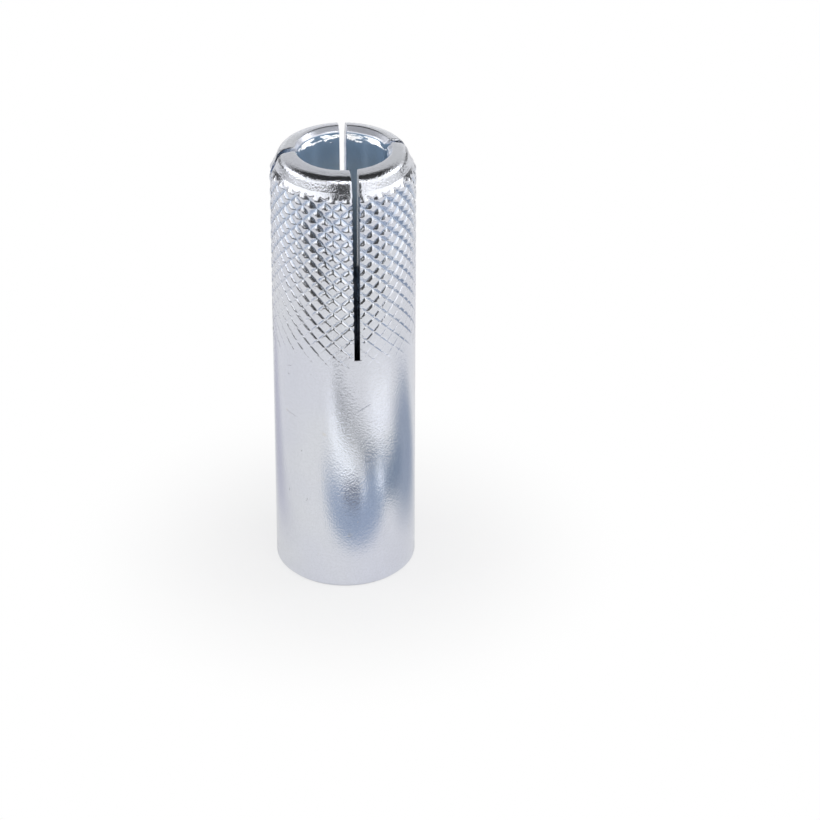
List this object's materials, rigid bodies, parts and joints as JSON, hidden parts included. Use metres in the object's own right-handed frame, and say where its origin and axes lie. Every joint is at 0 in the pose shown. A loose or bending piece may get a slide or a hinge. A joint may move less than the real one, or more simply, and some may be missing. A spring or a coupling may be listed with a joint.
{
  "type": "drop in anchor",
  "caption": "Slotted steel sleeve with a diamond-knurled expansion end, an internal thread at the other end and an expander plug inside, for fixing a bolt in solid masonry.",
  "frame": {"origin": "centre of the end face at the threaded mouth, where the anchor stands", "axes": "+Z along the axis, from the threaded mouth to the slotted end; the four slots open along +X, -X, +Y and -Y"},
  "size_m": [0.02, 0.02, 0.065],
  "materials": {
    "zinc_plated_shell": "bright blue-white zinc plating, satin, fine grained",
    "zinc_plated_plug": "dull zinc-plated steel"
  },
  "bodies": {
    "root": {"anchor_shell": "zinc_plated_shell", "expander_plug": "zinc_plated_plug"}
  },
  "joints": []
}
